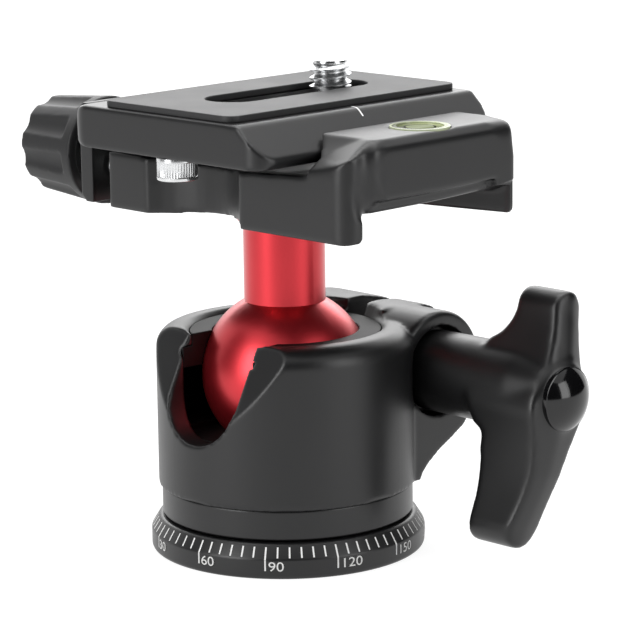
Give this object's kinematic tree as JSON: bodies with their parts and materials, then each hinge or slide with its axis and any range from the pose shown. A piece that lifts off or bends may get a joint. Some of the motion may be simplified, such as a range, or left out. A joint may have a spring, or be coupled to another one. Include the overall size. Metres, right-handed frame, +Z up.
{
  "type": "tripod ball head",
  "caption": "Compact tripod ball head: graduated panning base, drop notch, lever ball lock, and a screw clamp holding a sliding quick-release plate.",
  "frame": {"origin": "centre of the base's bottom face, at the mouth of the tripod socket", "axes": "+Z up along the stem, +Y along the plate's length, +X towards the lock lever and the bubble level"},
  "size_m": [0.095, 0.0503, 0.0728],
  "materials": {
    "dial_black": "satin black anodised, white scale",
    "housing_black": "satin black powder coat",
    "collar_black": "satin black anodised",
    "seat_plastic": "moulded acetal",
    "cup_plastic": "moulded acetal",
    "washer_plastic": "smooth",
    "hidden_steel": "plain",
    "lever_black": "satin black powder coat",
    "cap_gloss": "gloss",
    "ball_red": "satin red anodised",
    "clamp_black": "satin black powder coat",
    "jaw_black": "satin black powder coat",
    "knob_plastic": "fine moulded grain",
    "plate_black": "satin black anodised",
    "pad_rubber": "matte",
    "screw_steel": "bright",
    "stop_steel": "knurled",
    "level_white": "clear acrylic rim",
    "level_liquid": "tinted liquid"
  },
  "bodies": {
    "base": {"base_dial": "dial_black", "pan_washer": "washer_plastic", "thrust_washer": "hidden_steel", "retaining_clip": "hidden_steel"},
    "housing": {"housing": "housing_black", "bottom_collar": "collar_black", "seat_ring": "seat_plastic", "ball_cup": "cup_plastic", "wave_spring": "hidden_steel"},
    "lock_slide": {"lock_washer": "hidden_steel"},
    "lever": {"lever": "lever_black", "lever_cap": "cap_gloss", "lock_stud": "hidden_steel"},
    "ball": {"ball_stem": "ball_red", "clamp_bolt": "hidden_steel"},
    "clamp": {"clamp_body": "clamp_black", "level_ring": "level_white", "level_vial": "level_liquid"},
    "jaw": {"movable_jaw": "jaw_black", "guide_pins": "hidden_steel", "return_springs": "hidden_steel"},
    "knob": {"clamp_knob": "knob_plastic", "clamp_screw": "hidden_steel", "knob_washer": "hidden_steel"},
    "plate": {"quick_plate": "plate_black", "plate_pad": "pad_rubber", "stop_screw": "stop_steel"},
    "screw_glide": {"screw_clip": "seat_plastic"},
    "camera_screw": {"camera_screw": "screw_steel"}
  },
  "joints": [
    {"name": "pan", "type": "hinge", "parent": "base", "child": "housing", "pos_m": [0, 0, 0], "axis": [0, 0, 1], "continuous": true},
    {"name": "ball_tilt", "type": "hinge", "parent": "housing", "child": "ball", "pos_m": [0, 0, 0.0265], "axis": [1, 0, 0], "range_deg": [-25, 90]},
    {"name": "ball_spin", "type": "hinge", "parent": "ball", "child": "clamp", "pos_m": [0, 0, 0.0265], "axis": [0, 0, 1], "continuous": true},
    {"name": "lever_turn", "type": "hinge", "parent": "lock_slide", "child": "lever", "pos_m": [0, 0.017, 0.0261], "axis": [1, 0, 0], "range_deg": [0, 80]},
    {"name": "lever_travel", "type": "slide", "parent": "housing", "child": "lock_slide", "axis": [-1, 0, 0], "range_m": [0, 0.000222]},
    {"name": "knob_turn", "type": "hinge", "parent": "jaw", "child": "knob", "pos_m": [-0.045, 0, 0.0563], "axis": [-1, 0, 0], "range_deg": [0, 1800]},
    {"name": "jaw_slide", "type": "slide", "parent": "clamp", "child": "jaw", "axis": [-1, 0, 0], "range_m": [0, 0.004], "deforming": ["return_springs"]},
    {"name": "plate_slide", "type": "slide", "parent": "clamp", "child": "plate", "axis": [0, 1, 0], "range_m": [-0.006, 0.001]},
    {"name": "screw_slide", "type": "slide", "parent": "plate", "child": "screw_glide", "axis": [0, 1, 0], "range_m": [-0.0198, 0.0015]},
    {"name": "screw_turn", "type": "hinge", "parent": "screw_glide", "child": "camera_screw", "pos_m": [0, 0.0102, 0.065], "axis": [0, 0, 1], "continuous": true}
  ],
  "couplings": [
    {"joint": "lever_turn", "follows": "lever_travel", "rad_per_m": 6283.2},
    {"joint": "knob_turn", "follows": "jaw_slide", "rad_per_m": 7854}
  ]
}
